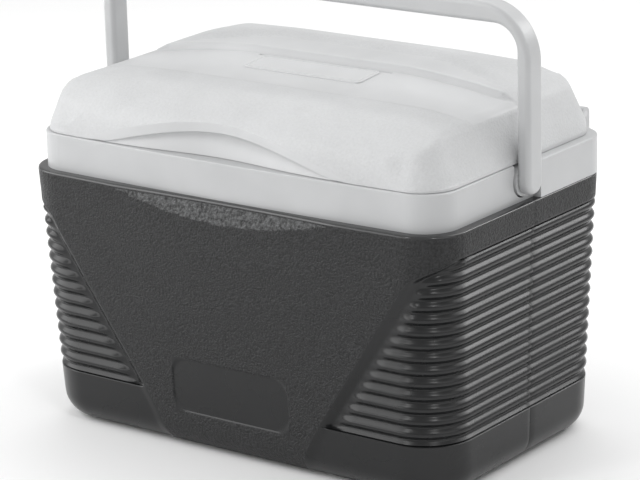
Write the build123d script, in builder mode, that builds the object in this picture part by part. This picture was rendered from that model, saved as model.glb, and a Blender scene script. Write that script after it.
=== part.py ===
"""Small hard-sided insulated carrier: ribbed tapered body, light collar, hinged dome lid, bail handle.

Millimetres. Origin at the middle of the flat base, +Z up, X along the length, -Y the front.
The carrier comes apart into a body group (shell, foam, liner, collar, hinge pins), a lid group
(shell, foam, inner panel, name plate) and the bail handle with its two retaining clips.
"""

from build123d import *
import os

# ---------------------------------------------------------------- driving dimensions
COLLAR_HALF_X = 170.0      # collar, front section, half its length
COLLAR_FRONT = 101.0       # collar front face at its corners, ahead of the pivot line
COLLAR_REAR = 102.0        # collar rear face, behind the pivot line
BOW = 3.5                  # how far the front face crowns forward at the middle
COLLAR_CORNER = 24.0       # plan radius of the collar's corners
SHOULDER = 6.0             # how far the collar's rear section stands out past the front one
SHOULDER_Y = 12.6          # where that section starts
LEDGE = 6.8                # body rim past the collar, front and ends
REAR_LEDGE = 3.0           # body rim past the collar at the back

LEDGE_Z = 185.0            # top of the body rim
COLLAR_TOP = 211.0         # top of the collar, where the lid sits
BASE_HALF_X = 171.0        # body outline just above the rounded bottom edge
BASE_FRONT = 101.5
BASE_REAR = 100.5
BASE_CORNER = 37.0
BOTTOM_ROUND = 16.0        # radius of the bottom edge

WALL = 2.6                 # moulded wall
GAP = 0.3                  # clearance between nested mouldings

RIB_COUNT = 14
RIB_TOP = 163.1            # height of the highest rib's crest
RIB_PITCH = 8.9
RIB_DEPTH = 3.0            # crest above the wall between two ribs
RIB_HALF = 3.4             # half a rib's height at its root
RIB_ROUND = 2.2            # bevel along a rib's edges
SKIRT_TOP = 38.5           # the plain skirt below the ribs
BAND_FOOT = 168.0          # the plain band between the ribs and the rim
PANEL_PROUD = 0.8          # raised front panel past the rib crests
PANEL_HALF_LOW = 60.0      # half width of the raised front panel at its foot
PANEL_HALF_HIGH = 171.0    # and at the rim
PANEL_FOOT_Z = 18.0
LABEL = (100.0, 40.0, 10.0)  # recess for a label: width, height, corner radius
LABEL_Z = 47.5
LABEL_DEPTH = 0.9

TUB_HALF_X = 146.0         # mouth of the food tub
TUB_HALF_Y = 78.0
TUB_TAPER = 9.0            # how much narrower the tub is at its floor, per side
TUB_FLOOR = 25.0
TUB_CORNER = 24.0
LIP = 8.0                  # liner's flange past the tub's mouth
LIP_THICK = 2.0
COLLAR_FLANGE = 5.0        # thickness of the collar's inward flange

LID_INSET = 1.5            # lid edge inside the collar edge
LID_FOOT = 211.5           # underside of the closed lid
LID_WALL_TOP = 231.0       # where the lid's walls start to round over
LID_DECK = 247.0           # front deck of the lid
LID_PAD = 251.2            # crown of the smooth panel behind the deck
LID_LEDGE = 254.5          # ledge behind the step
LID_HUMP = 257.5           # raised rear part of the lid
STEP_Y = 16.0              # front edge of the ledge
HUMP_FRONT = 36.0          # front edge of the hump
RECESS = (104.0, 232.0, 91.0)  # finger recess in the lid's front: half width, crest, back wall
PLUG_FLOOR = 199.0         # how far down the lid's inner panel reaches into the tub
PLUG_CLEAR = 3.0           # clearance of that plug in the tub's mouth
LEG_CHANNEL = (19.0, 165.4)  # channel in the lid's ends for the legs: width, floor from middle
PLATE = (100.0, 27.0, 5.0)   # blank name plate: length, width, corner radius
PLATE_PROUD = 0.4
PLATE_RECESS = 1.2

PIVOT_Z = 199.4            # bail handle's axis, on the line y = 0
LEG_INNER = 170.5          # inner face of the handle's legs
LEG_THICK = 10.0
LEG_WIDTH = 18.0
BAR_INNER = 105.0          # pivot to the straight inside of the bar
BAR_DROP = 2.1             # how much closer the bar's outside is at its corners
BAR_THICK = 15.1
BAIL_OUTER = 39.0          # outer corner radius of the bail
BAIL_INNER = 18.0
HUB_R = 11.0               # round boss on the leg, which sits in the collar's pocket
HUB_END = 165.0
POCKET_R = 12.0
POCKET_FLOOR = 164.6       # distance of the pocket's floor from the middle
PIN_R = 5.0
PIN_END = 158.6
CLIP_R = 6.3
CLIP = (159.4, 161.7)      # retaining clip on the handle's stub, inside the collar wall
RUN = 0.05                 # running clearance of a pin in its bore

HINGE_Y = 105.0            # lid hinge axis, behind the collar
HINGE_Z = 219.0
KNUCKLE_R = 4.8
HINGE_PIN_R = 2.2
KNUCKLE = (131.0, 149.0)   # extent of a lid knuckle along the hinge line
EAR_THICK = 5.0            # collar ear beside each end of a knuckle
EAR_GAP = 0.4

os.makedirs("parts", exist_ok=True)


# ---------------------------------------------------------------- shared outlines
def outline(half_x, front, rear, bow, corner):
    """Plan outline of the carrier: bowed front, straight back, rounded corners."""
    with BuildSketch() as plan:
        with BuildLine():
            ends = Polyline((half_x, -front), (half_x, rear), (-half_x, rear), (-half_x, -front))
            ThreePointArc(ends @ 1, (0, -front - bow), ends @ 0)
        make_face()
        fillet(plan.vertices(), corner)
    return plan.sketch


def body_outline(z, inset):
    """The tapered body's outline at height z, drawn inwards by inset."""
    t = z / LEDGE_Z
    half_x = BASE_HALF_X + (COLLAR_HALF_X + LEDGE - BASE_HALF_X) * t
    front = BASE_FRONT + (COLLAR_FRONT + LEDGE - BASE_FRONT) * t
    rear = BASE_REAR + (COLLAR_REAR + REAR_LEDGE - BASE_REAR) * t
    corner = BASE_CORNER + (COLLAR_CORNER + LEDGE - BASE_CORNER) * t
    return outline(half_x - inset, front - inset, rear - inset, BOW * t + 0.3, corner - inset)


def body_block(low, high, inset, edge_radius=0):
    """Tapered block of the body between two heights, its bottom edge rounded."""
    with BuildPart() as block:
        for z in (low, high):
            with BuildSketch(Plane.XY.offset(z)):
                add(body_outline(z, inset))
        loft()
        if edge_radius:
            fillet(block.faces().sort_by(Axis.Z)[0].edges(), edge_radius)
    return block.part


def tub(low, high, grow):
    """Tapered block of the food tub between two heights, grown outwards by grow."""
    with BuildPart() as block:
        for z in (low, high):
            inset = TUB_TAPER * (COLLAR_TOP - z) / (COLLAR_TOP - TUB_FLOOR) - grow
            with BuildSketch(Plane.XY.offset(z)):
                RectangleRounded(
                    2 * (TUB_HALF_X - inset), 2 * (TUB_HALF_Y - inset), TUB_CORNER + grow,
                )
        loft()
    return block.part


def ends_of(low, high):
    """X positions and lengths of one feature mirrored to both ends."""
    return ((low, high - low), (-high, high - low))


def lid_block(shrink, foot):
    """The lid's dome with its raised rear part and leg channels, drawn inwards by shrink."""
    half_x = COLLAR_HALF_X - LID_INSET - shrink
    front = COLLAR_FRONT - LID_INSET - shrink
    rear = COLLAR_REAR - LID_INSET - shrink
    corner = COLLAR_CORNER - shrink
    raised_parts = (
        (LID_DECK - 8, LID_PAD, -36, STEP_Y + 14, 46, 76, 14),
        (LID_WALL_TOP, LID_LEDGE, STEP_Y, rear - 8, 10, 28, 5),
        (LID_LEDGE - 12, LID_HUMP, HUMP_FRONT, rear - 18, 34, 48, 6),
    )
    with BuildPart() as block:
        with BuildSketch(Plane.XY.offset(foot)):
            add(outline(half_x, front, rear, BOW, corner))
        with BuildSketch(Plane.XY.offset(LID_WALL_TOP)):
            add(outline(half_x - 7, front - 4, rear - 2, BOW, corner + 4))
        loft()
        with BuildSketch(Plane.XY.offset(LID_WALL_TOP)):
            add(outline(half_x - 7, front - 4, rear - 2, BOW, corner + 4))
        with BuildSketch(Plane.XY.offset(LID_DECK - shrink)):
            add(outline(half_x - 16, front - 26, rear - 7, BOW, corner + 8))
        loft()
        for low, high, near, far, wide, narrow, slope in raised_parts:
            with BuildSketch(Plane.XY.offset(low)):
                with Locations((0, (near + far) / 2)):
                    RectangleRounded(2 * (half_x - wide), far - near, 12)
            with BuildSketch(Plane.XY.offset(high - shrink)):
                with Locations((0, (near + far) / 2)):
                    RectangleRounded(2 * (half_x - narrow), far - near - 2 * slope, 9)
            loft()
        # finger recess in the front
        with BuildSketch(Plane.XZ.offset(RECESS[2] - shrink)):
            with BuildLine():
                base = Line((-RECESS[0] - shrink, foot - 1), (RECESS[0] + shrink, foot - 1))
                ThreePointArc(base @ 1, (0, RECESS[1] + shrink), base @ 0)
            make_face()
        extrude(amount=30, mode=Mode.SUBTRACT)
        for start, length in ends_of(LEG_CHANNEL[1] - shrink, COLLAR_HALF_X + 5):
            with Locations((start, 0, foot - 1)):
                Box(
                    length, LEG_CHANNEL[0] + 2 * shrink, 70, mode=Mode.SUBTRACT,
                    align=(Align.MIN, Align.CENTER, Align.MIN),
                )
    return block.part


# ---------------------------------------------------------------- body group
with BuildPart() as body_shell:
    add(body_block(0, LEDGE_Z, RIB_DEPTH, BOTTOM_ROUND))
    for n in range(RIB_COUNT):
        crest = RIB_TOP - RIB_PITCH * n
        with BuildPart(mode=Mode.PRIVATE) as rib:
            with BuildSketch(Plane.XY.offset(crest - RIB_HALF)):
                add(body_outline(crest, 0))
            extrude(amount=2 * RIB_HALF)
            chamfer(rib.faces().filter_by(Axis.Z).edges(), RIB_ROUND)
        add(rib.part)
    add(body_block(BOTTOM_ROUND + 2, SKIRT_TOP, 0.2))
    add(body_block(BAND_FOOT, LEDGE_Z, 0))
    with BuildPart(mode=Mode.PRIVATE) as panel:
        add(body_block(PANEL_FOOT_Z, LEDGE_Z, -PANEL_PROUD))
        with BuildSketch(Plane.XZ.offset(60)):
            with BuildLine():
                Polyline(
                    (-PANEL_HALF_LOW, PANEL_FOOT_Z),
                    (PANEL_HALF_LOW, PANEL_FOOT_Z),
                    (PANEL_HALF_HIGH, LEDGE_Z),
                    (-PANEL_HALF_HIGH, LEDGE_Z),
                    close=True,
                )
            make_face()
        extrude(amount=80, mode=Mode.INTERSECT)
    add(panel.part)
    add(body_block(WALL, LEDGE_Z - WALL, RIB_DEPTH + WALL, BOTTOM_ROUND - WALL), mode=Mode.SUBTRACT)
    # opening of the rim, under the collar
    with BuildSketch(Plane.XY.offset(LEDGE_Z - WALL - 1)):
        add(outline(COLLAR_HALF_X - 6, COLLAR_FRONT - 6, COLLAR_REAR - 6, BOW, COLLAR_CORNER - 6))
    extrude(amount=WALL + 2, mode=Mode.SUBTRACT)
    # label recess in the front panel
    with BuildSketch(Plane.XZ.offset(BASE_FRONT + 0.8)):
        with Locations((0, LABEL_Z)):
            RectangleRounded(*LABEL)
    extrude(amount=6, mode=Mode.SUBTRACT)
body_shell.part.label = "body_shell"

with BuildPart() as body_foam:
    add(body_block(WALL, LEDGE_Z - WALL - GAP, RIB_DEPTH + WALL + GAP, BOTTOM_ROUND - WALL))
    with BuildSketch(Plane.XY.offset(LEDGE_Z - WALL - 4)):
        add(outline(PIN_END - 1, COLLAR_FRONT - 7, COLLAR_REAR - 7, BOW, COLLAR_CORNER - 7))
    extrude(amount=COLLAR_TOP - COLLAR_FLANGE - GAP - LEDGE_Z + WALL + 4)
    add(tub(TUB_FLOOR - WALL, COLLAR_TOP, WALL + GAP), mode=Mode.SUBTRACT)
body_foam.part.label = "body_foam"

with BuildPart() as inner_liner:
    add(tub(TUB_FLOOR - WALL, COLLAR_TOP, WALL))
    with BuildSketch(Plane.XY.offset(COLLAR_TOP - LIP_THICK)):
        RectangleRounded(2 * (TUB_HALF_X + LIP), 2 * (TUB_HALF_Y + LIP), TUB_CORNER + LIP)
    extrude(amount=LIP_THICK)
    add(tub(TUB_FLOOR, COLLAR_TOP, 0), mode=Mode.SUBTRACT)
inner_liner.part.label = "inner_liner"

with BuildPart() as collar:
    with BuildSketch(Plane.XY.offset(LEDGE_Z)):
        add(outline(COLLAR_HALF_X, COLLAR_FRONT, COLLAR_REAR, BOW, COLLAR_CORNER))
    extrude(amount=COLLAR_TOP - LEDGE_Z)
    # rear section, standing out behind the handle's legs
    with BuildPart(mode=Mode.PRIVATE) as rear_section:
        with BuildSketch(Plane.XY.offset(LEDGE_Z)):
            add(outline(COLLAR_HALF_X + SHOULDER, COLLAR_FRONT, COLLAR_REAR, BOW, COLLAR_CORNER))
        extrude(amount=COLLAR_TOP - LEDGE_Z)
        with Locations((0, SHOULDER_Y, LEDGE_Z)):
            Box(
                2 * (COLLAR_HALF_X + SHOULDER), COLLAR_REAR, 30, mode=Mode.INTERSECT,
                align=(Align.CENTER, Align.MIN, Align.MIN),
            )
    add(rear_section.part)
    fillet(collar.faces().sort_by(Axis.Z)[-1].edges(), 1.2)
    with BuildSketch(Plane.XY.offset(LEDGE_Z)):
        add(outline(
            COLLAR_HALF_X - WALL, COLLAR_FRONT - WALL, COLLAR_REAR - WALL, BOW, COLLAR_CORNER - WALL,
        ))
    extrude(amount=COLLAR_TOP - LEDGE_Z - COLLAR_FLANGE, mode=Mode.SUBTRACT)
    # solid blocks round the handle's pockets
    for start, length in ends_of(POCKET_FLOOR - WALL, COLLAR_HALF_X - 1):
        with Locations((start, 0, LEDGE_Z)):
            Box(length, 2 * POCKET_R + 6, 25, align=(Align.MIN, Align.CENTER, Align.MIN))
    # mouth of the tub and the rebate for the liner's lip
    with BuildSketch(Plane.XY.offset(COLLAR_TOP - COLLAR_FLANGE - 1)):
        grow = WALL + 2 * GAP
        RectangleRounded(2 * (TUB_HALF_X + grow), 2 * (TUB_HALF_Y + grow), TUB_CORNER + grow)
    extrude(amount=10, mode=Mode.SUBTRACT)
    with BuildSketch(Plane.XY.offset(COLLAR_TOP - LIP_THICK)):
        grow = LIP + GAP
        RectangleRounded(2 * (TUB_HALF_X + grow), 2 * (TUB_HALF_Y + grow), TUB_CORNER + grow)
    extrude(amount=10, mode=Mode.SUBTRACT)
    # pockets for the hubs, open at the top, and the bores for the handle's stubs
    for start, length in ends_of(POCKET_FLOOR, COLLAR_HALF_X + 10):
        with BuildSketch(Plane.YZ.offset(start)):
            with Locations((0, PIVOT_Z)):
                Circle(POCKET_R)
            with Locations((0, PIVOT_Z + 10)):
                Rectangle(2 * POCKET_R - 3, 20)
        extrude(amount=length, mode=Mode.SUBTRACT)
    with BuildSketch(Plane.YZ.offset(-COLLAR_HALF_X)):
        with Locations((0, PIVOT_Z)):
            Circle(PIN_R + RUN)
    extrude(amount=2 * COLLAR_HALF_X, mode=Mode.SUBTRACT)
    # hinge ears at the back
    ears = (KNUCKLE[0] - EAR_GAP - EAR_THICK, KNUCKLE[1] + EAR_GAP)
    for ear in ears:
        for start, length in ends_of(ear, ear + EAR_THICK):
            with BuildSketch(Plane.YZ.offset(start)):
                with Locations((HINGE_Y, HINGE_Z)):
                    Circle(KNUCKLE_R)
                with BuildLine():
                    Polyline(
                        (HINGE_Y - KNUCKLE_R, HINGE_Z),
                        (HINGE_Y + KNUCKLE_R, HINGE_Z),
                        (HINGE_Y + KNUCKLE_R, HINGE_Z - 13),
                        (COLLAR_REAR - 1, LEDGE_Z + 8),
                        (COLLAR_REAR - 1, COLLAR_TOP - 1.5),
                        close=True,
                    )
                make_face()
                with Locations((HINGE_Y, HINGE_Z)):
                    Circle(HINGE_PIN_R, mode=Mode.SUBTRACT)
            extrude(amount=length)
collar.part.label = "collar"

with BuildPart() as hinge_pins:
    for start, length in ends_of(ears[0], ears[1] + EAR_THICK):
        with BuildSketch(Plane.YZ.offset(start)):
            with Locations((HINGE_Y, HINGE_Z)):
                Circle(HINGE_PIN_R)
        extrude(amount=length)
hinge_pins.part.label = "hinge_pins"

# ---------------------------------------------------------------- lid group
with BuildPart() as lid_shell:
    add(lid_block(0, LID_FOOT))
    add(lid_block(WALL, LID_FOOT - 0.01), mode=Mode.SUBTRACT)
    # knuckles at the back
    for start, length in ends_of(*KNUCKLE):
        with BuildSketch(Plane.YZ.offset(start)):
            with Locations((HINGE_Y, HINGE_Z)):
                Circle(KNUCKLE_R)
            with Locations((HINGE_Y, HINGE_Z)):
                Rectangle(HINGE_Y - COLLAR_REAR + 4.4, 2 * (HINGE_Z - LID_FOOT) - 1,
                          align=(Align.MAX, Align.CENTER))
            with Locations((HINGE_Y, HINGE_Z)):
                Circle(HINGE_PIN_R + RUN, mode=Mode.SUBTRACT)
        extrude(amount=length)
    # recess for the name plate
    with BuildSketch(Plane.XY.offset(LID_PAD - PLATE_RECESS)):
        RectangleRounded(PLATE[0] + 0.4, PLATE[1] + 0.4, PLATE[2] + 0.2)
    extrude(amount=PLATE_RECESS + 0.01, mode=Mode.SUBTRACT)
lid_shell.part.label = "lid_shell"

with BuildPart() as lid_foam:
    add(lid_block(WALL + GAP, LID_FOOT))
    with Locations((0, 0, LID_FOOT + WALL)):
        Box(400, 300, 20, mode=Mode.SUBTRACT, align=(Align.CENTER, Align.CENTER, Align.MAX))
    add(tub(PLUG_FLOOR + WALL, LID_FOOT + WALL, -PLUG_CLEAR - WALL - GAP))
lid_foam.part.label = "lid_foam"

with BuildPart() as lid_panel:
    with BuildSketch(Plane.XY.offset(LID_FOOT)):
        inset = LID_INSET + WALL + GAP + 0.9
        add(outline(
            COLLAR_HALF_X - inset, COLLAR_FRONT - inset, COLLAR_REAR - inset, BOW, COLLAR_CORNER,
        ))
    extrude(amount=WALL)
    for start, length in ends_of(LEG_CHANNEL[1] - inset + LID_INSET, COLLAR_HALF_X):
        with Locations((start, 0, LID_FOOT)):
            Box(
                length, LEG_CHANNEL[0] + 2 * inset, 9, mode=Mode.SUBTRACT,
                align=(Align.MIN, Align.CENTER, Align.CENTER),
            )
    with BuildSketch(Plane.XZ.offset(RECESS[2] - inset)):
        with Locations((0, LID_FOOT)):
            Rectangle(2 * (RECESS[0] + inset), 20)
    extrude(amount=30, mode=Mode.SUBTRACT)
    add(tub(PLUG_FLOOR, LID_FOOT + 1, -PLUG_CLEAR))
    add(tub(PLUG_FLOOR + WALL, LID_FOOT + WALL, -PLUG_CLEAR - WALL), mode=Mode.SUBTRACT)
lid_panel.part.label = "lid_panel"

with BuildPart() as name_plate:
    with BuildSketch(Plane.XY.offset(LID_PAD - PLATE_RECESS)):
        RectangleRounded(*PLATE)
    extrude(amount=PLATE_RECESS + PLATE_PROUD)
    chamfer(name_plate.faces().sort_by(Axis.Z)[-1].edges(), 0.3)
name_plate.part.label = "name_plate"

# ---------------------------------------------------------------- handle group
with BuildPart() as handle:
    outer_x = LEG_INNER + LEG_THICK
    top = PIVOT_Z + BAR_INNER + BAR_THICK
    under = PIVOT_Z + BAR_INNER
    with BuildSketch(Plane.XZ.offset(-LEG_WIDTH / 2)) as bail:
        with BuildLine():
            legs = Polyline(
                (outer_x, top - BAR_DROP), (outer_x, PIVOT_Z), (LEG_INNER, PIVOT_Z), (LEG_INNER, under),
                (-LEG_INNER, under), (-LEG_INNER, PIVOT_Z), (-outer_x, PIVOT_Z), (-outer_x, top - BAR_DROP),
            )
            ThreePointArc(legs @ 0, (0, top), legs @ 1)
        make_face()
        # in the sketch's own axes, Y is the height
        corners = bail.vertices().filter_by(lambda v: v.Y > PIVOT_Z + 1)
        fillet(corners.filter_by(lambda v: abs(v.X) > outer_x - 1), BAIL_OUTER)
        corners = bail.vertices().filter_by(lambda v: PIVOT_Z + 1 < v.Y < under + 1)
        fillet(corners.filter_by(lambda v: abs(v.X) > LEG_INNER - 1 and abs(v.X) < outer_x - 1), BAIL_INNER)
    extrude(amount=LEG_WIDTH)
    for start, length in ends_of(LEG_INNER, outer_x):
        with BuildSketch(Plane.YZ.offset(start)):
            with Locations((0, PIVOT_Z)):
                Circle(LEG_WIDTH / 2)
        extrude(amount=length)
    long_edges = handle.edges().filter_by(lambda e: abs(e.center().Y) > LEG_WIDTH / 2 - 0.1)
    fillet([e for e in long_edges if e.center().Z > PIVOT_Z + 1], 3.6)
    for start, length in ends_of(HUB_END, LEG_INNER + 1):
        with BuildSketch(Plane.YZ.offset(start)):
            with Locations((0, PIVOT_Z)):
                Circle(HUB_R)
        extrude(amount=length)
    for start, length in ends_of(PIN_END, HUB_END + 1):
        with BuildSketch(Plane.YZ.offset(start)):
            with Locations((0, PIVOT_Z)):
                Circle(PIN_R)
        extrude(amount=length)
handle.part.label = "handle"

with BuildPart() as pivot_clips:
    for start, length in ends_of(*CLIP):
        with BuildSketch(Plane.YZ.offset(start)):
            with Locations((0, PIVOT_Z)):
                Circle(CLIP_R)
                Circle(PIN_R, mode=Mode.SUBTRACT)
        extrude(amount=length)
pivot_clips.part.label = "pivot_clips"

# ---------------------------------------------------------------- files
export_step(body_shell.part, "parts/body_shell.step")
export_step(body_foam.part, "parts/body_foam.step")
export_step(inner_liner.part, "parts/inner_liner.step")
export_step(collar.part, "parts/collar.step")
export_step(hinge_pins.part, "parts/hinge_pins.step")
export_step(lid_shell.part, "parts/lid_shell.step")
export_step(lid_foam.part, "parts/lid_foam.step")
export_step(lid_panel.part, "parts/lid_panel.step")
export_step(name_plate.part, "parts/name_plate.step")
export_step(handle.part, "parts/handle.step")
export_step(pivot_clips.part, "parts/pivot_clips.step")
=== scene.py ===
import math

import bpy
from mathutils import Matrix, Vector


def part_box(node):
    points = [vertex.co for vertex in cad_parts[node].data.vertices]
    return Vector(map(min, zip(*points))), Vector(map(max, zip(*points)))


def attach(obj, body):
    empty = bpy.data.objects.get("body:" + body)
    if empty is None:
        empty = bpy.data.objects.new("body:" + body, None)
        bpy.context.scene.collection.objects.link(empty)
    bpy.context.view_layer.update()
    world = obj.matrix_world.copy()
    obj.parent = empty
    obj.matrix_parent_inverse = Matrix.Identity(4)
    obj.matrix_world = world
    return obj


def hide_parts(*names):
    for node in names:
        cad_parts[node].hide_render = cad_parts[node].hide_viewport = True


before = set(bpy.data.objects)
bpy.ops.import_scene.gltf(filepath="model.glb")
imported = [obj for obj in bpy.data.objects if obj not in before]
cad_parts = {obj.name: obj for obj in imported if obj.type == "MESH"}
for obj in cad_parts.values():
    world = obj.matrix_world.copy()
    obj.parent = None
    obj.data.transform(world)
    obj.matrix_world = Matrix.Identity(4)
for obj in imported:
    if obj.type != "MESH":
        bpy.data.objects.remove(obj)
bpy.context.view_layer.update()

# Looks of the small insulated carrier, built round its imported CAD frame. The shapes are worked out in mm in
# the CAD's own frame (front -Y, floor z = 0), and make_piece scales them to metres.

MM = 0.001


def mm_box(node):
    """A CAD node's box in millimetres."""
    lo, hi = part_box(node)
    return [c / MM for c in lo], [c / MM for c in hi]


def smooth(t):
    """Eased step from 0 to 1."""
    t = min(1.0, max(0.0, t))
    return t * t * (3 - 2 * t)


def soft_min(a, b, k):
    h = min(1.0, max(0.0, 0.5 + 0.5 * (b - a) / k))
    return b + (a - b) * h - k * h * (1 - h)


def spread(a, b, n):
    """n steps from a to b, without a itself."""
    return [a + (b - a) * (i + 1) / n for i in range(n)]


# ---------------------------------------------------------------- materials
def principled(name, colour, roughness, **values):
    """New material with its shader's own sockets set. Returns the material, its node tree and the shader."""
    mat = bpy.data.materials.new(name)
    mat.use_nodes = True
    tree = mat.node_tree
    shader = tree.nodes["Principled BSDF"]
    shader.inputs["Base Color"].default_value = (*colour, 1)
    shader.inputs["Roughness"].default_value = roughness
    for key, value in values.items():
        shader.inputs[key.replace("_", " ")].default_value = value
    return mat, tree, shader


def node(tree, kind, inputs=None, **settings):
    made = tree.nodes.new(kind)
    for key, value in settings.items():
        setattr(made, key, value)
    for key, value in (inputs or {}).items():
        if hasattr(value, "links"):
            tree.links.new(value, made.inputs[key])
        else:
            made.inputs[key].default_value = value
    return made


def moulded(name, colour, roughness, grain=0.0, size=0.9, speckle=0.0, wave=0.3, **values):
    """Injection-moulded plastic. grain is its texture's height and size its pitch, both in mm."""
    mat, tree, shader = principled(name, colour, roughness, **values)
    place = node(tree, "ShaderNodeTexCoord").outputs["Object"]
    broad = node(tree, "ShaderNodeTexNoise", {"Vector": place, "Scale": 26.0, "Detail": 2.0})
    shift = node(tree, "ShaderNodeMapRange", {
        "Value": broad.outputs["Fac"], "From Min": 0.3, "From Max": 0.7, "To Min": 0.96, "To Max": 1.04})
    fine = node(tree, "ShaderNodeTexNoise", {
        "Vector": place, "Scale": 1000.0 / size, "Detail": 2.0, "Roughness": 0.55})
    tint = node(tree, "ShaderNodeMapRange", {
        "Value": fine.outputs["Fac"], "From Min": 0.32, "From Max": 0.68,
        "To Min": 1 - speckle, "To Max": 1 + speckle})
    both = node(tree, "ShaderNodeMath", {0: shift.outputs["Result"], 1: tint.outputs["Result"]},
                operation="MULTIPLY")
    colours = node(tree, "ShaderNodeVectorMath", {0: colour, "Scale": both.outputs["Value"]},
                   operation="SCALE")
    tree.links.new(colours.outputs["Vector"], shader.inputs["Base Color"])
    rough = node(tree, "ShaderNodeMapRange", {
        "Value": broad.outputs["Fac"], "From Min": 0.3, "From Max": 0.7,
        "To Min": roughness - 0.03, "To Max": roughness + 0.03})
    tree.links.new(rough.outputs["Result"], shader.inputs["Roughness"])
    bump = node(tree, "ShaderNodeBump", {
        "Height": broad.outputs["Fac"], "Strength": wave, "Distance": 0.0004})
    if grain:
        bump = node(tree, "ShaderNodeBump", {
            "Height": fine.outputs["Fac"], "Strength": 1.0, "Distance": grain * MM,
            "Normal": bump.outputs["Normal"]})
    tree.links.new(bump.outputs["Normal"], shader.inputs["Normal"])
    return mat


DARK = (0.0125, 0.0128, 0.0134)
body_grain = moulded("body_grain", DARK, 0.46, grain=1.8, size=1.5, speckle=0.8, Specular_IOR_Level=0.38)
body_smooth = moulded("body_smooth", (0.0095, 0.0098, 0.0103), 0.27, grain=0.02, size=1.2,
                      Specular_IOR_Level=0.38)
# scoop's coarse grain: its colour, far above the body's, is partly the coarser finish and partly painted
# light for the upward-facing scoop
body_coarse_painted_light = moulded("body_coarse_painted_light", (0.046, 0.047, 0.048), 0.40, grain=3.0, size=2.3, speckle=1.0,
                      Specular_IOR_Level=0.5)
# rim's rounded edge and ledge: glossier finish, and a colour lighter than the body as painted light for the
# ledge's lit top
body_rim_painted_light = moulded("body_rim_painted_light", (0.022, 0.0225, 0.023), 0.16, wave=0.15, Specular_IOR_Level=0.6)
lid_grain = moulded("lid_grain", (0.50, 0.505, 0.51), 0.52, grain=0.35, size=1.7, speckle=0.03)
lid_smooth = moulded("lid_smooth", (0.51, 0.515, 0.52), 0.40, grain=0.02, size=1.5)
trim_satin = moulded("trim_satin", (0.445, 0.45, 0.455), 0.36, grain=0.02, size=1.5)
liner_gloss = moulded("liner_gloss", (0.78, 0.79, 0.79), 0.28)
foam_cells = moulded("foam_cells", (0.74, 0.66, 0.42), 0.9, grain=0.5, size=2.2, speckle=0.12)
pin_steel = moulded("pin_steel", (0.55, 0.55, 0.56), 0.32, grain=0.01, size=0.5, Metallic=1.0)


# ---------------------------------------------------------------- mesh helper
def make_piece(name, verts, faces, mats, picks, body, replaced, sharp=38):
    """Mesh object from points in mm; picks holds each face's material index."""
    mesh = bpy.data.meshes.new(name)
    mesh.from_pydata([[c * MM for c in v] for v in verts], [], faces)
    for mat in mats:
        mesh.materials.append(mat)
    mesh.polygons.foreach_set("material_index", picks)
    mesh.validate()
    mesh.shade_smooth()
    mesh.set_sharp_from_angle(angle=math.radians(sharp))
    obj = bpy.data.objects.new(name, mesh)
    bpy.context.scene.collection.objects.link(obj)
    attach(obj, body)
    if replaced:
        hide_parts(replaced)
    return obj


def along(dims, a):
    """Point and outward normal on an outline's right half, a mm from the middle of its front."""
    half_x, front, rear, bow, c = dims
    flat = half_x - c
    dip = bow * (1 - (flat / half_x) ** 2)
    quarter = c * math.pi / 2
    side = rear + front + dip - 2 * c
    if a <= flat:
        s = a / half_x
        n = Vector((2 * bow * s / half_x, -1)).normalized()
        return a, -front - bow * (1 - s * s), n.x, n.y
    a -= flat
    if a <= quarter:
        t = a / c
        return flat + c * math.sin(t), c - front - dip - c * math.cos(t), math.sin(t), -math.cos(t)
    a -= quarter
    if a <= side:
        return half_x, c - front - dip + a, 1.0, 0.0
    a -= side
    if a <= quarter:
        t = a / c
        return flat + c * math.cos(t), rear - c + c * math.sin(t), math.cos(t), math.sin(t)
    a -= quarter
    return max(0.0, flat - a), rear, 0.0, 1.0


def ring_faces(columns, rows, closed=True):
    """Quads between successive rings of the same number of points."""
    faces = []
    for r in range(rows - 1):
        for c in range(columns if closed else columns - 1):
            d = (c + 1) % columns
            faces.append((r * columns + c, r * columns + d, (r + 1) * columns + d, (r + 1) * columns + c))
    return faces


# ---------------------------------------------------------------- body shell
LEDGE_Z = mm_box("body_shell")[1][2]
FRONT = 101.0              # the collar's front at its corners, and its rear
REAR = 102.0
BOW = 3.5                  # how far the front bows out in the middle
LEDGE = 6.8                # rim's overhang past the collar
RIM_ROUND = 1.5
RIB_TOP = 163.1            # crest of the top rib
RIB_PITCH = 8.9
RIB_DEPTH = 3.0
RIB_SHOULDER = 1.6         # height over which the ribbed wall runs out above and below
SKIRT_TOP = 38.5           # plain skirt below the ribs
SKIRT_BACK = 0.2           # skirt's wall inside the rib crests
BAND_FOOT = 167.6          # plain band above the ribs
BOTTOM_ROUND = 18.0
BEVEL = 8.6                # width of the front panel's slanted edges
PANEL_PROUD = 0.8          # front panel past the rib crests
FLARE_FOOT = 148.0         # where the front panel starts to widen into the band
FLARE = 20.0
LABEL_Z = 47.75            # middle of the label recess
LABEL_HALF = (50.0, 20.25)
LABEL_ROUND = 12.0
LABEL_DEPTH = 1.1
PARTING_Y = 4.0            # mould parting line in the ends
PARTING_HALF = 0.9
PARTING_DEPTH = 0.25
SCOOP_HALF = 97.0          # scoop under the front of the rim
SCOOP_TOP = 184.0
SCOOP_DEEP = 15.0
GRAIN, SMOOTH, COARSE, RIM = range(4)  # material slots of the body; the lid has the first two


def body_dims(z):
    """Outline of the rib crests at height z, as along() takes it."""
    t = z / LEDGE_Z
    return (171 + (170 + LEDGE - 171) * t, 101.5 + (FRONT + LEDGE - 101.5) * t,
            100.5 + (REAR + 3 - 100.5) * t, BOW * t + 0.3, 37 + (30.8 - 37) * t)


def panel_edge(z):
    """Half width of the raised front panel, along the outline, at height z."""
    rise = 8 * math.log(1 + math.exp((z - 14) / 8))
    return 57 + 0.665 * rise + 24 * smooth((z - FLARE_FOOT) / FLARE) ** 2


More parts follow.
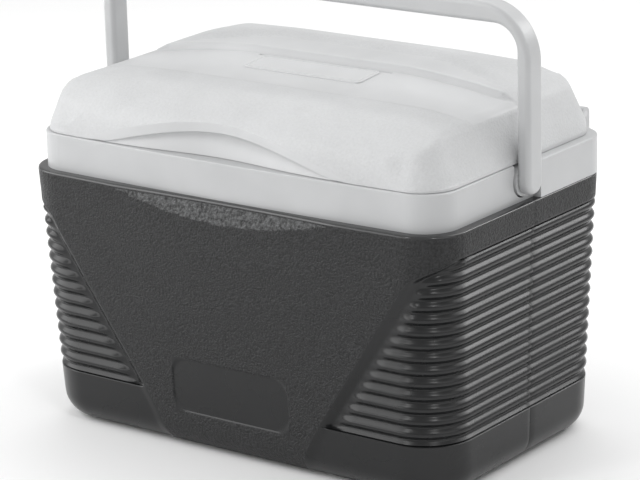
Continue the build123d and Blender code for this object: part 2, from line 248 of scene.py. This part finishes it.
def scoop_foot(x):
    """Height at which the scoop starts."""
    return SCOOP_TOP - SCOOP_DEEP * max(0.0, 1 - (x / SCOOP_HALF) ** 2)


def rib_level(z):
    """Level of the ribbed wall against the rib crests."""
    if z < SKIRT_TOP:
        return -SKIRT_BACK
    if z < SKIRT_TOP + RIB_SHOULDER:
        return -SKIRT_BACK - (RIB_DEPTH - SKIRT_BACK) * smooth((z - SKIRT_TOP) / RIB_SHOULDER)
    if z > BAND_FOOT:
        return 0.0
    if z > BAND_FOOT - RIB_SHOULDER:
        return -RIB_DEPTH * smooth((BAND_FOOT - z) / RIB_SHOULDER)
    phase = math.cos(2 * math.pi * (z - RIB_TOP) / RIB_PITCH)
    return -RIB_DEPTH * (1 - (0.5 + 0.5 * phase) ** 0.75)


def body_relief(a, x, y, z):
    """How far the outer wall stands out past the rib crests' outline."""
    edge = panel_edge(z)
    panel = smooth((edge + BEVEL - a) / BEVEL)
    wall = rib_level(z)
    if SKIRT_TOP + RIB_SHOULDER < z < BAND_FOOT - RIB_SHOULDER:
        # the ribs fade in past the panel's slanted edge
        wall = -RIB_DEPTH + (wall + RIB_DEPTH) * smooth((a - edge - BEVEL + 2) / 14)
    proud = PANEL_PROUD * (1 - smooth((z - FLARE_FOOT) / FLARE))
    level = wall + (proud - wall) * panel
    if y < 0:
        # distance past the label recess's rounded outline, then the scoop
        over_x = abs(x) - (LABEL_HALF[0] - LABEL_ROUND)
        over_z = abs(z - LABEL_Z) - (LABEL_HALF[1] - LABEL_ROUND)
        past = math.hypot(max(over_x, 0), max(over_z, 0)) + min(max(over_x, over_z), 0) - LABEL_ROUND
        level -= LABEL_DEPTH * smooth(-past / 1.3)
        foot = scoop_foot(x)
        if abs(x) < SCOOP_HALF and z > foot:
            level -= 0.24 * (z - foot) * smooth((z - foot) / 2.5)
    if abs(y - PARTING_Y) < PARTING_HALF and abs(x) > 150:
        level -= PARTING_DEPTH * (1 - abs(y - PARTING_Y) / PARTING_HALF)
    return level


def body_columns(z):
    """The outline's measures at height z, and where along its right half the mesh has points."""
    half_x, front, rear, bow, c = dims = body_dims(z)
    flat = half_x - c
    turn = flat + c * math.pi / 2
    dip = bow * (1 - (flat / half_x) ** 2)
    side = rear + front + dip - 2 * c
    edge = min(panel_edge(z), turn - BEVEL - 4)
    cols = [0, 6, 12, 18, 24, 30, 35, 39, 42.5, 45, 47, 48.2, 48.9, 49.5, 50.2, 51.5, 54]
    cols += spread(54, edge, 22)
    cols += spread(edge, edge + BEVEL, 7)
    cols += spread(edge + BEVEL, turn, 52)
    start = turn - (c - front - dip)
    line = start + PARTING_Y
    cols += spread(turn, line - 4, 14)
    cols += [line + PARTING_HALF * share for share in (-1, -0.5, 0, 0.5, 1)]
    cols += spread(line + 4, turn + side, 14)
    cols += spread(turn + side, turn + side + c * math.pi / 2, 16)
    end = turn + side + c * math.pi / 2 + flat
    cols += spread(turn + side + c * math.pi / 2, end, 12)
    return dims, cols


def body_ring(z, inset=0.0, lift=0.0):
    """One closed ring of the body wall at height z."""
    dims, cols = body_columns(z)
    right = []
    for a in cols:
        x, y, nx, ny = along(dims, a)
        out = body_relief(a, x, y, z) - inset
        right.append((x + nx * out, y + ny * out, z + lift))
    left = [(-x, y, h) for x, y, h in right[1:-1]]
    return right + left[::-1]


# each ring's height in the wall's profile, its inset and its lift
levels = [(z, BOTTOM_ROUND - math.sqrt(BOTTOM_ROUND ** 2 - (BOTTOM_ROUND - z) ** 2), 0.0)
          for z in (0, 0.25, 0.8, 1.7, 3, 4.6, 6.6, 9, 12, 15)]
levels += [(z, 0.0, 0.0) for z in (18, 21, 24, 26, 27.2, 28, 28.8, 30, 32, 34, 36, 37.4, 38.2, 38.5, 38.9,
                                   39.3, 39.7, 40.1)]
z = 40.9
while z < BAND_FOOT - 1.7:
    levels.append((z, 0.0, 0.0))
    z += RIB_PITCH / 11
levels += [(BAND_FOOT - RIB_SHOULDER + 0.4 * i, 0.0, 0.0) for i in range(5)]
levels += [(168.6 + i, 0.0, 0.0) for i in range(15)]
levels += [(LEDGE_Z - RIM_ROUND, inset, lift) for inset, lift in (
    (0.0, 0.0), (0.12, 0.55), (0.42, 1.0), (0.9, 1.35), (1.5, 1.5), (3.5, 1.5), (10.0, 1.5), (11.0, -1.0))]
rings = [body_ring(*level) for level in levels]
count = len(rings[0])
verts = [point for ring in rings for point in ring]
faces = ring_faces(count, len(levels))
picks = []
for row in range(len(levels) - 1):
    z = (levels[row][0] + levels[row + 1][0]) / 2
    marks = body_columns(z)[1]
    for col in range(count):
        face = faces[row * count + col]
        x, y, _ = [sum(verts[i][k] for i in face) / 4 for k in range(3)]
        a = (marks[min(col, count - col)] + marks[min(col + 1, count - col - 1)]) / 2
        in_panel = y < 0 and a < panel_edge(z) and z > 1
        in_label = y < 0 and abs(x) < LABEL_HALF[0] - 1 and abs(z - LABEL_Z) < LABEL_HALF[1] - 0.75
        in_scoop = y < 0 and abs(x) < SCOOP_HALF and scoop_foot(x) + 1 < z < LEDGE_Z - 2
        in_band = z > BAND_FOOT + 0.5
        # the rim's faces get the rim material, lighter than the body as painted light for the lit ledge
        if levels[row][0] > LEDGE_Z - 2:
            picks.append(RIM)
        # the scoop takes the coarse grain, whose lighter colour is partly painted light
        elif in_scoop:
            picks.append(COARSE)
        elif (in_panel and not in_label) or in_band:
            picks.append(GRAIN)
        else:
            picks.append(SMOOTH)
faces.append(tuple(range(count))[::-1])
picks.append(SMOOTH)
make_piece("body_outer", verts, faces, [body_grain, body_smooth, body_coarse_painted_light, body_rim_painted_light], picks,
           "body", "body_shell")

# ---------------------------------------------------------------- lid
LID_FOOT = 211.3
HALF_X = 168.3             # the lid's outline at its foot
LID_FRONT = 99.5
LID_REAR = 100.5
CORNER = 24.0
DECK_INSET = 12.0          # where the walls' rings meet the top's grid
HEIGHT = 50.0              # height of the dome, whose section is a superellipse
ARCH = (-10.0, 112.0)      # middle and half width of the arched lip in the front
ARCH_RISE = 21.5           # lip's crest over the foot at the middle
ARCH_DEEP = 4.4            # how far the recess goes in behind the lip
KINK_Y = -38.0             # where the front block meets the smooth panel
FRONT_TOP = 251.2
PANEL_TOP = 249.0
CROWN = 5.5                # extra height of the top's middle
STEP_Y = 15.0              # step up to the ledge
STEP_RUN = 4.4
STEP_RISE = 4.6
CREASE_Y = 48.0            # crease up to the raised rear part
REAR_RISE = 3.4
CREST_Y = 58.0             # where the rear part starts to roll over
SLIT_DEEP = 4.0            # slit behind the name plate
END_SLOPE = 2.5            # rise per mm inwards of the lid's end walls
CORNER_KEPT = 0.7          # share of the corner's radius kept as the walls go in
WALL_THICK = 3.4           # the lid's wall at its foot
WEB_END = 3.7              # inset and height of the web's inner edge, beside the inner panel
WEB_LIFT = 2.3
FRONT_NOTCH = (108.0, 85.9)  # the inner panel's notch behind the recess: half width, y
END_NOTCH = (14.0, 161.8)    # its notches at the handle's legs: half width, x
HINGE = (105.0, 219.0)     # y and z of the hinge line
KNUCKLE_X = (131.0, 149.0)
KNUCKLE_R = 4.8
KNUCKLE_REACH = 12.0       # how far a knuckle runs forward into the lid's rear wall
PLATE_HALF = (50.0, 13.4)
PLATE_Y = -2.2
PLATE_ROUND = 4.0


def crown(x, y):
    """Extra height of the lid's top towards its middle, behind the front block."""
    return CROWN * (1 - smooth((abs(x) - 60) / 84)) * smooth((y + 62) / 80)


def lid_front(x):
    """Distance of the lid's bowed front from the pivot line."""
    return LID_FRONT + BOW * (1 - (x / HALF_X) ** 2)


def lid_wall(x, y):
    """Height of the dome's sides over a point of the plan."""
    bowed = lid_front(x)
    along_x = min(1.0, max(0.0, (abs(x) - (HALF_X - 56)) / 56))
    ahead = min(1.0, max(0.0, (-y - (bowed - 110)) / 110))
    behind = min(1.0, max(0.0, (y - (LID_REAR - 24)) / 24))
    power = 2.6 + 0.6 * smooth((y - 60) / 20)
    f = min(1.0, (along_x ** 7 + max(ahead, behind) ** 7) ** (1 / 7))
    dome = LID_FOOT + HEIGHT * (1 - f ** power) ** (1 / power) + crown(x, y)
    slope = LID_FOOT + 20.5 + 0.6 * (bowed + y)
    # the ends' flatter walls, carried round the corners
    ahead = max(0.0, -y - (bowed - CORNER)) * (0.62 + 0.33 * smooth((abs(x) - 108) / 36))
    behind = max(0.0, y - (LID_REAR - CORNER)) * 0.8
    into = CORNER - math.hypot(max(0.0, abs(x) - (HALF_X - CORNER)), ahead, behind)
    end_wall = LID_FOOT + 2.0 + END_SLOPE * into
    return soft_min(soft_min(dome, slope, 8.0), end_wall, 3.0)


def crease(x):
    """Where the ledge meets the raised rear part."""
    return CREASE_Y - 21 * smooth((abs(x) - 55) / 85)


def lid_top(x, y):
    """Height of the lid's top: front block, panel, step, ledge and raised rear part."""
    ax = abs(x)
    front = FRONT_TOP - 0.00006 * x * x - 4.5 * smooth((ax - 122) / 36)
    panel = PANEL_TOP + 0.012 * (y - KINK_Y) - 3.4 * smooth((ax - 112) / 46) + crown(x, y)
    z = front + (panel - front) * smooth((y - KINK_Y + 5) / 8)
    z += STEP_RISE * smooth((y - STEP_Y) / STEP_RUN) * (1 - smooth((ax - 142) / 14))
    # the rear part rolls over towards the hinge, most where the top is crowned
    roll = max(0.0, y - CREST_Y)
    z += REAR_RISE * smooth((y - crease(x)) / 11) ** 0.8 * (1 - smooth((ax - 114) / 34))
    z -= 0.9 * crown(x, y) * (1 - math.exp(-roll / 16)) + 0.0022 * roll * roll
    z -= SLIT_DEEP * smooth((1.5 - abs(y - STEP_Y + 1.3)) / 0.6) * smooth((57 - ax) / 3)
    return z


def lid_height(x, y, inset):
    """Height of the lid's outside at a point inset from its outline; at the outline it drops to the foot."""
    top = soft_min(lid_wall(x, y), lid_top(x, y), 4.0)
    return min(top, LID_FOOT + 60 * math.sqrt(max(0.0, inset) / 8))


def lid_plan(p, q, inset):
    """Plan position of a grid point. p and q are (sign, straight part, corner share)."""
    c = CORNER - (1 - CORNER_KEPT) * inset
    u, v = p[2], q[2]
    if u and v:
        u, v = u * math.sqrt(1 - v * v / 2), v * math.sqrt(1 - u * u / 2)
    x = p[1] * (1 - CORNER_KEPT * inset / flat_x) + p[0] * c * u
    y = q[1] * (1 - CORNER_KEPT * inset / (flat_f if q[1] < 0 else flat_r)) + q[0] * c * v
    if y < 0:
        y -= (lid_front(x) - LID_FRONT) * min(1.0, -y / LID_FRONT)
    return x, y


# straight parts of the outline up to its corners; the marks stand closer where the step and the ledge are
flat_x = HALF_X - CORNER
flat_f = LID_FRONT - CORNER
flat_r = LID_REAR - CORNER
shares = [0.12, 0.26, 0.42, 0.6, 0.8, 1.0]
grid_x = [(-1, -flat_x, s) for s in shares[::-1]]
grid_x += [(0, -flat_x + 2 * flat_x * i / 120, 0) for i in range(121)]
grid_x += [(1, flat_x, s) for s in shares]
marks = [-64, -60, -56, -52, -48, -45, -43, -41, -39.5, -38, -36.5, -35, -33, -30, -27, -24,
         -21, -18, -15, -12, -9.6, -9.2, -6, -3, 0, 3, 6, 9, 11.6, 12.2, 12.6, 13.0, 13.7, 14.4, 14.8,
         15.2, 15.8, 16.4, 17.1, 17.8, 18.6, 19.6, 21, 23, 25, 28, 31, 33, 34, 35, 37, 40, 44, 48, 52, 56,
         60, 64, 67]
drawn_in = CORNER_KEPT * DECK_INSET
marks = [y / (1 - drawn_in / (flat_f if y < 0 else flat_r)) for y in marks]
marks = [-flat_f, *marks, flat_r]
grid_y = [(-1, -flat_f, s) for s in shares[::-1]] + [(0, y, 0) for y in marks]
grid_y += [(1, flat_r, s) for s in shares]
nx, ny = len(grid_x), len(grid_y)
verts = []
for q in grid_y:
    for p in grid_x:
        x, y = lid_plan(p, q, DECK_INSET)
        verts.append((x, y, lid_height(x, y, DECK_INSET)))
faces = []
picks = []
for j in range(ny - 1):
    for i in range(nx - 1):
        faces.append((j * nx + i, j * nx + i + 1, (j + 1) * nx + i + 1, (j + 1) * nx + i))
        x, y, _ = [sum(verts[k][m] for k in faces[-1]) / 4 for m in range(3)]
        panel = KINK_Y < y < STEP_Y + 1.5 and abs(x) < 160
        ledge = STEP_Y + 1 < y < crease(x) and abs(x) < 140
        picks.append(SMOOTH if panel or ledge else GRAIN)

# the walls: rings that start from the deck's edge, so each ring has one point per edge point
edge = [(i, 0) for i in range(nx)] + [(nx - 1, j) for j in range(1, ny)]
edge += [(i, ny - 1) for i in range(nx - 2, -1, -1)] + [(0, j) for j in range(ny - 2, 0, -1)]


def arch(x):
    """Crest and underside of the lip over the finger recess, and the recess's depth."""
    wide = max(0.0, 1 - ((x - ARCH[0]) / ARCH[1]) ** 2)
    narrow = max(0.0, 1 - ((x - ARCH[0] - 2) / (ARCH[1] - 14)) ** 2)
    crest = LID_FOOT + 1.8 + ARCH_RISE * wide ** 1.25
    return crest, LID_FOOT + 0.5 + 16.7 * narrow ** 1.25, ARCH_DEEP * narrow ** 0.8


def front_inset(x, z):
    """Inset of the dome's front at height z, found by halving."""
    low, high = 0.0, DECK_INSET
    for _ in range(24):
        mid = (low + high) / 2
        if lid_height(x, mid - lid_front(x), mid) < z:
            low = mid
        else:
            high = mid
    return low


UPPER, LIP, LOWER = 16, 6, 8  # points above the lip's crest, on the lip and in the recess below it
LIP_LEAN = 0.06               # the lip's face goes in by this much per mm downwards
columns = []
for i, j in edge:
    p, q = grid_x[i], grid_y[j]
    in_front = j == 0 and p[0] == 0 and abs(p[1] - ARCH[0]) < ARCH[1]
    crest, under, depth = arch(p[1] if in_front else HALF_X)
    at_crest = front_inset(p[1] if in_front else 0.0, crest)
    column = []
    for k in range(1, UPPER + 1):
        inset = at_crest + (DECK_INSET - at_crest) * (1 - k / UPPER) ** 1.6
        x, y = lid_plan(p, q, inset)
        z = lid_height(x, y, inset)
        if not in_front:
            # the wall never dips below its foot on the way down
            z = max(z, crest + 0.9 * (inset - at_crest))
        column.append((x, y, crest if k == UPPER else z))
    x, y = lid_plan(p, q, at_crest)
    fade = smooth((crest - LID_FOOT - 1.5) / 3)
    for k in range(1, LIP + 1):
        z = crest + (under - crest) * k / LIP
        if in_front:
            column.append((x, y + LIP_LEAN * (crest - z) * fade, z))
        else:
            column.append((*lid_plan(p, q, 0.0), z))
    for k in range(1, LOWER + 1):
        t = (k / LOWER) ** 1.3
        z = under + (LID_FOOT - under) * t
        if in_front:
            back = LIP_LEAN * (crest - under) + depth * math.sin(math.pi * t ** 0.55) + 0.5 * t
            column.append((x, y + back * fade, z))
        else:
            column.append((*lid_plan(p, q, 0.0), z))
    # the wall's thickness, then a web that closes the gap up to the lid's inner panel
    foot_y = column[-1][1]
    x, y = lid_plan(p, q, WALL_THICK)
    if in_front:
        y = max(y, foot_y + WALL_THICK)
    column += [(x, y, LID_FOOT), (x, y, LID_FOOT + WEB_LIFT)]
    x, y = lid_plan(p, q, WEB_END)
    if j == 0 and p[0] == 0 and abs(x) < FRONT_NOTCH[0]:
        y = -FRONT_NOTCH[1]
    elif q[0] == 0 and p[0] != 0 and abs(y) < END_NOTCH[0]:
        x = math.copysign(END_NOTCH[1], x)
    column.append((x, y, LID_FOOT + WEB_LIFT))
    columns.append(column)
rows = len(columns[0])
first = len(verts)
verts += [column[k] for k in range(rows) for column in columns]
n = len(edge)
for c in range(n):
    d = (c + 1) % n
    ec, ed = edge[c], edge[d]
    faces.append((ec[1] * nx + ec[0], ed[1] * nx + ed[0], first + d, first + c)[::-1])
    picks.append(GRAIN)
for k in range(rows - 1):
    for c in range(n):
        d = (c + 1) % n
        low, high = first + (k + 1) * n, first + k * n
        faces.append((low + c, low + d, high + d, high + c))
        picks.append(SMOOTH if k >= UPPER - 1 else GRAIN)
make_piece("lid_outer", verts, faces, [lid_grain, lid_smooth], picks, "lid", "lid_shell", 50)

# ---------------------------------------------------------------- hinge knuckles
KNUCKLE_BEVEL = 0.5
KNUCKLE_LONG = KNUCKLE_X[1] - KNUCKLE_X[0]
KNUCKLE_RINGS = ((0.0, KNUCKLE_BEVEL), (KNUCKLE_BEVEL, 0.0),
                 (KNUCKLE_LONG - KNUCKLE_BEVEL, 0.0), (KNUCKLE_LONG, KNUCKLE_BEVEL))
for side, label in ((-1, "left"), (1, "right")):
    verts = []
    for step, shrink in KNUCKLE_RINGS:
        r = KNUCKLE_R - shrink
        profile = [(HINGE[0] - KNUCKLE_REACH, HINGE[1] - r)]
        profile += [(HINGE[0] + r * math.cos(t), HINGE[1] + r * math.sin(t))
                    for t in (math.radians(-90 + 7.5 * k) for k in range(25))]
        profile.append((HINGE[0] - KNUCKLE_REACH, HINGE[1] + r))
        verts += [(side * (KNUCKLE_X[0] + step), y, z) for y, z in profile]
    count = len(profile)
    faces = ring_faces(count, len(KNUCKLE_RINGS))
    faces += [tuple(range(count))[::-1], tuple(range(len(verts) - count, len(verts)))]
    if side < 0:
        faces = [f[::-1] for f in faces]
    make_piece("knuckle_" + label, verts, faces, [lid_smooth], [0] * len(faces),
               "lid", "lid_shell")

# ---------------------------------------------------------------- blank name plate
# each ring's inset from the plate's outline and its height over the lid: a bead, a groove and the flat
verts = []
rings = [(0.0, -0.6), (0.0, 0.6), (0.15, 0.85), (0.45, 0.95), (1.9, 0.95), (2.2, 0.45), (2.8, 0.45),
         (3.1, 0.85), (5.0, 0.85), (8.0, 0.85), (11.0, 0.85)]
for inset, lift in rings:
    for s, (sx, sy) in enumerate(((1, -1), (1, 1), (-1, 1), (-1, -1))):
        r = max(PLATE_ROUND - inset, 0.6)
        for t in range(9):
            turn = math.radians(s * 90 - 90 + t * 90 / 8)
            x = sx * (PLATE_HALF[0] - inset - r) + r * math.cos(turn)
            y = PLATE_Y + sy * (PLATE_HALF[1] - inset - r) + r * math.sin(turn)
            verts.append((x, y, lid_height(x, y, 50) + lift))
        x0, y0 = verts[-1][0], verts[-1][1]
        span = 2 * (PLATE_HALF[0] - inset - r) if s in (1, 3) else 2 * (PLATE_HALF[1] - inset - r)
        steps = 24 if s in (1, 3) else 6
        for t in range(1, steps):
            x = x0 + (0 if s in (0, 2) else -sx * span * t / steps)
            y = y0 + (0 if s in (1, 3) else -sy * span * t / steps)
            verts.append((x, y, lid_height(x, y, 50) + lift))
count = len(verts) // len(rings)
faces = ring_faces(count, len(rings))
faces.append(tuple(range((len(rings) - 1) * count, len(rings) * count)))
make_piece("plate_blank", verts, faces, [lid_smooth], [0] * len(faces), "lid", "name_plate")

# ---------------------------------------------------------------- the CAD nodes' materials
finishes = {
    "collar": trim_satin, "handle": trim_satin, "pivot_clips": trim_satin, "inner_liner": liner_gloss,
    "lid_panel": liner_gloss, "body_foam": foam_cells, "lid_foam": foam_cells, "hinge_pins": pin_steel,
    # replaced by the pieces above, so unseen
    "body_shell": body_smooth, "lid_shell": lid_smooth, "name_plate": lid_smooth,
}
for name, finish in finishes.items():
    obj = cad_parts[name]
    for slot in obj.material_slots:
        slot.material = finish

# ---------------------------------------------------------------- floor, lights, camera
def studio_mesh(name, corners, mat):
    mesh = bpy.data.meshes.new(name)
    mesh.from_pydata(corners, [], [tuple(range(len(corners)))])
    mesh.materials.append(mat)
    obj = bpy.data.objects.new(name, mesh)
    bpy.context.scene.collection.objects.link(obj)
    return obj


floor_mat, _, _ = principled("floor_pale", (0.88, 0.88, 0.88), 0.7)
studio_mesh("floor", [(-6, -6, 0), (6, -6, 0), (6, 6, 0), (-6, 6, 0)], floor_mat)

WORLD_STRENGTH = 0.60
world = bpy.data.worlds.new("studio")
bpy.context.scene.world = world
world.use_nodes = True
background = world.node_tree.nodes["Background"]
background.inputs["Color"].default_value = (1, 1, 1, 1)
background.inputs["Strength"].default_value = WORLD_STRENGTH


def softbox(name, around, above, far, size, power):
    """Area light aimed at the object, its azimuth counted from the front towards the right end."""
    data = bpy.data.lights.new(name, "AREA")
    data.shape = "RECTANGLE"
    data.size, data.size_y = size
    data.energy = power
    obj = bpy.data.objects.new(name, data)
    turn, rise = math.radians(around), math.radians(above)
    way = Vector((math.sin(turn) * math.cos(rise), -math.cos(turn) * math.cos(rise), math.sin(rise)))
    obj.location = Vector((0, 0, 0.13)) + way * far
    obj.rotation_euler = (-way).to_track_quat("-Z", "Y").to_euler()
    bpy.context.scene.collection.objects.link(obj)


softbox("left_box", -62, 30, 1.9, (1.8, 1.4), 22)
softbox("front_fill", -25, 12, 1.9, (1.0, 0.5), 4.4)
softbox("side_fill", 82, 26, 1.9, (1.4, 1.0), 3.5)
softbox("right_box", 140, 46, 1.9, (1.2, 1.2), 9.5)
softbox("end_strip", 150, 27, 1.9, (0.9, 0.3), 5)
softbox("overhead", 200, 58, 2.0, (1.6, 1.4), 10)
softbox("strip_left", -16, 46, 1.9, (0.22, 0.4), 3.2)
softbox("strip_right", 55, 44, 1.9, (0.20, 0.4), 3.2)

CAMERA_AT = (1.186756, -1.592566, 0.727393)  # metres
LENS = 166.92                                # mm, on a sensor 36 mm wide
azimuth, elevation, roll = math.radians(36.65), math.radians(16.71), math.radians(-1.549)
back = Vector((math.sin(azimuth) * math.cos(elevation), -math.cos(azimuth) * math.cos(elevation),
               math.sin(elevation)))
right = Vector((math.cos(azimuth), math.sin(azimuth), 0))
up = back.cross(right)
turned_right = math.cos(roll) * right + math.sin(roll) * up
turned_up = -math.sin(roll) * right + math.cos(roll) * up
camera = bpy.data.cameras.new("camera")
camera.sensor_width = 36
camera.lens = LENS
camera_object = bpy.data.objects.new("camera", camera)
camera_object.matrix_world = Matrix.Translation(CAMERA_AT) @ Matrix(
    (turned_right, turned_up, back)).transposed().to_4x4()
bpy.context.scene.collection.objects.link(camera_object)
bpy.context.scene.camera = camera_object
bpy.context.scene.view_settings.view_transform = "Standard"
